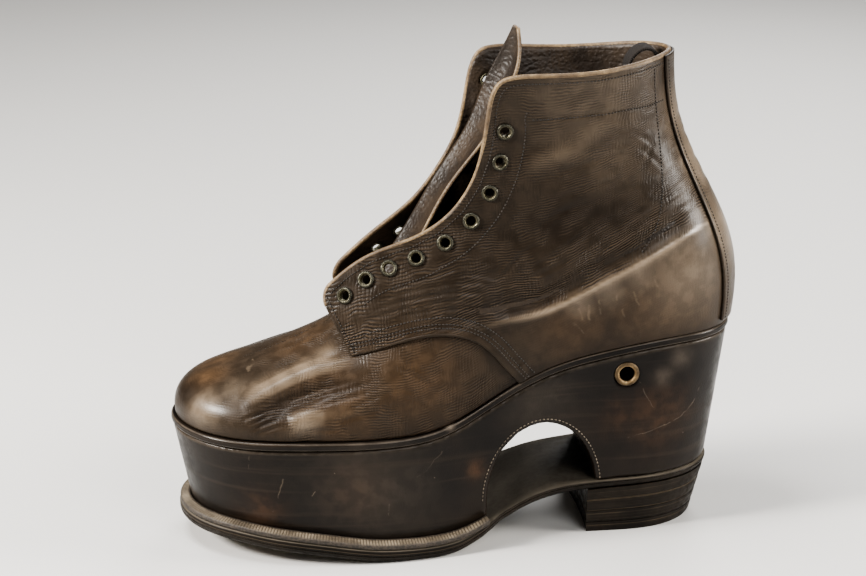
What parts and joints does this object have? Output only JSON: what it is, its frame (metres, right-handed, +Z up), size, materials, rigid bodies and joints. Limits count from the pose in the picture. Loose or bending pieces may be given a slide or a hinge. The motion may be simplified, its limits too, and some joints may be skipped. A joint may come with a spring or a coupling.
{
  "type": "orthopedic boot",
  "caption": "Worn brown leather lace-up orthopedic boot on a tall leather-covered platform with an arch opening under the waist, a cross socket in the heel and a stacked heel.",
  "frame": {"origin": "on the floor under the middle of the boot's box", "axes": "+X from toe to heel, +Y from the outer side to the inner side, +Z up"},
  "size_m": [0.2877, 0.0986, 0.2581],
  "materials": {
    "upper_leather": "dark brown grained leather, worn and polished",
    "tongue_leather": "matt tan-brown lining leather",
    "insole_leather": "matt worn insole leather",
    "platform_leather": "smooth black-brown polished leather",
    "welt_leather": "dark welt leather with pale stitches",
    "sole_leather": "dark waxed sole leather",
    "loop_webbing": "woven webbing",
    "eyelet_metal": "dark oxidised",
    "socket_brass": "dull worn"
  },
  "bodies": {
    "root": {"upper": "upper_leather", "backstay": "upper_leather", "tongue": "tongue_leather", "pull_loop": "loop_webbing", "insole": "insole_leather", "rand": "platform_leather", "platform": "platform_leather", "socket_tube": "socket_brass", "forepart_welt": "welt_leather", "outsole": "sole_leather", "heel_lift_1": "sole_leather", "heel_lift_2": "sole_leather", "heel_lift_3": "sole_leather", "heel_top_piece": "sole_leather", "eyelet_lateral_1": "eyelet_metal", "eyelet_lateral_2": "eyelet_metal", "eyelet_lateral_3": "eyelet_metal", "eyelet_lateral_4": "eyelet_metal", "eyelet_lateral_5": "eyelet_metal", "eyelet_lateral_6": "eyelet_metal", "eyelet_lateral_7": "eyelet_metal", "eyelet_lateral_8": "eyelet_metal", "eyelet_lateral_9": "eyelet_metal", "eyelet_medial_1": "eyelet_metal", "eyelet_medial_2": "eyelet_metal", "eyelet_medial_3": "eyelet_metal", "eyelet_medial_4": "eyelet_metal", "eyelet_medial_5": "eyelet_metal", "eyelet_medial_6": "eyelet_metal", "eyelet_medial_7": "eyelet_metal", "eyelet_medial_8": "eyelet_metal", "eyelet_medial_9": "eyelet_metal"}
  },
  "joints": []
}
